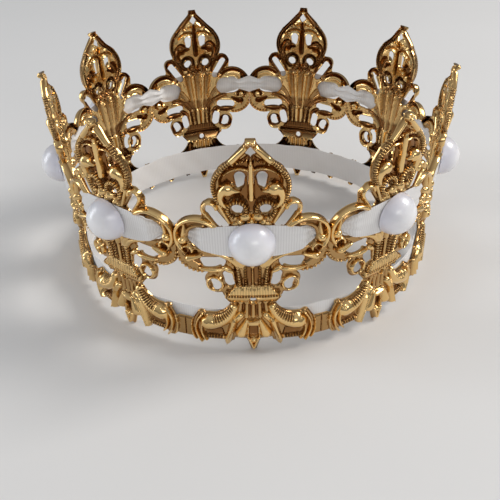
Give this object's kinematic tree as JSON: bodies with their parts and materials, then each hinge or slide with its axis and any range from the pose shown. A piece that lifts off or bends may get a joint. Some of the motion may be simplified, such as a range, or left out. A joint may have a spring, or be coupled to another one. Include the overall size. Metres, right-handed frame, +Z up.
{
  "type": "gilt filigree crown",
  "caption": "Round open crown of pierced, embossed gilt brass plates with pointed finials, a white ribbon woven through their wings, half pearls on the ribbon and a ribbon lining the base.",
  "frame": {"origin": "middle of the whole's outline seen from above, at the level of the pendants' feet; the ring's axis stands 1.8 mm behind it, because an odd number of plates reaches further to the front", "axes": "+Z up along the crown's axis, -Y to the front, where plate_1 faces; the plates are numbered anticlockwise seen from above"},
  "size_m": [0.129, 0.1272, 0.066],
  "materials": {
    "gilt_brass": "polished gilt stamping",
    "pearl": "white pearl lustre",
    "white_ribbon": "ribbed grosgrain weave"
  },
  "bodies": {
    "root": {"plate_1": "gilt_brass", "plate_2": "gilt_brass", "plate_3": "gilt_brass", "plate_4": "gilt_brass", "plate_5": "gilt_brass", "plate_6": "gilt_brass", "plate_7": "gilt_brass", "plate_8": "gilt_brass", "plate_9": "gilt_brass", "pearl_1": "pearl", "pearl_2": "pearl", "pearl_3": "pearl", "pearl_4": "pearl", "pearl_5": "pearl", "pearl_6": "pearl", "pearl_7": "pearl", "pearl_8": "pearl", "pearl_9": "pearl", "woven_ribbon": "white_ribbon", "lining_ribbon": "white_ribbon"}
  },
  "joints": []
}
